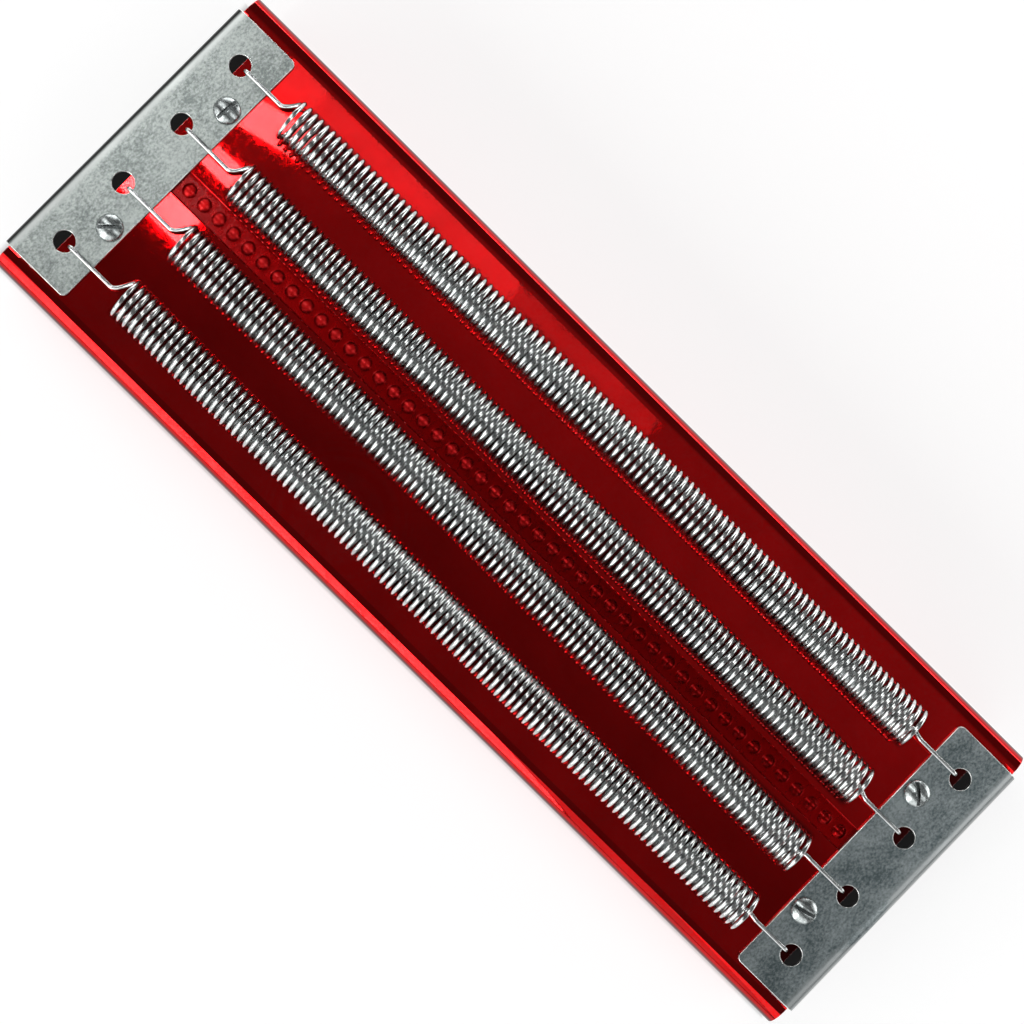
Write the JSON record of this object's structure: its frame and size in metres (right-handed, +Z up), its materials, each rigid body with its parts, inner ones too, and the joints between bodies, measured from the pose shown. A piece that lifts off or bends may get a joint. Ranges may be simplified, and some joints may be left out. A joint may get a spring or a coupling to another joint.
{
  "type": "reco-reco",
  "caption": "Spring scraper: a folded red metal channel with an angle bracket at each end and long coil springs hooked between them over the top.",
  "frame": {"origin": "on the surface the channel stands on, under the middle of its length and width", "axes": "+X along the springs, towards the bracket with the shorter bare wires; +Y across them; +Z up"},
  "size_m": [0.3032, 0.103, 0.0631],
  "materials": {
    "red_sheet": "glossy red anodised sheet",
    "plated_bracket": "dull zinc plate",
    "spring_wire": "bright plated spring wire",
    "fastener": "bright zinc plate"
  },
  "bodies": {
    "channel": {"body_shell": "red_sheet", "left_bracket": "plated_bracket", "right_bracket": "plated_bracket", "screw_1": "fastener", "screw_2": "fastener", "screw_3": "fastener", "screw_4": "fastener", "washer_1": "fastener", "washer_2": "fastener", "washer_3": "fastener", "washer_4": "fastener", "nut_1": "fastener", "nut_2": "fastener", "nut_3": "fastener", "nut_4": "fastener"},
    "coil_1": {"spring_1": "spring_wire"},
    "coil_2": {"spring_2": "spring_wire"},
    "coil_3": {"spring_3": "spring_wire"},
    "coil_4": {"spring_4": "spring_wire"}
  },
  "joints": [
    {"name": "coil_1_sway", "type": "hinge", "parent": "channel", "child": "coil_1", "pos_m": [0, 0.0339, 0.05233], "axis": [1, 0, 0], "range_deg": [-8, 8], "stiffness_Nm_per_rad": 0.03},
    {"name": "coil_2_sway", "type": "hinge", "parent": "channel", "child": "coil_2", "pos_m": [0, 0.0113, 0.05233], "axis": [1, 0, 0], "range_deg": [-8, 8], "stiffness_Nm_per_rad": 0.03},
    {"name": "coil_3_sway", "type": "hinge", "parent": "channel", "child": "coil_3", "pos_m": [0, -0.0113, 0.05233], "axis": [1, 0, 0], "range_deg": [-8, 8], "stiffness_Nm_per_rad": 0.03},
    {"name": "coil_4_sway", "type": "hinge", "parent": "channel", "child": "coil_4", "pos_m": [0, -0.0339, 0.05233], "axis": [1, 0, 0], "range_deg": [-8, 8], "stiffness_Nm_per_rad": 0.03}
  ]
}
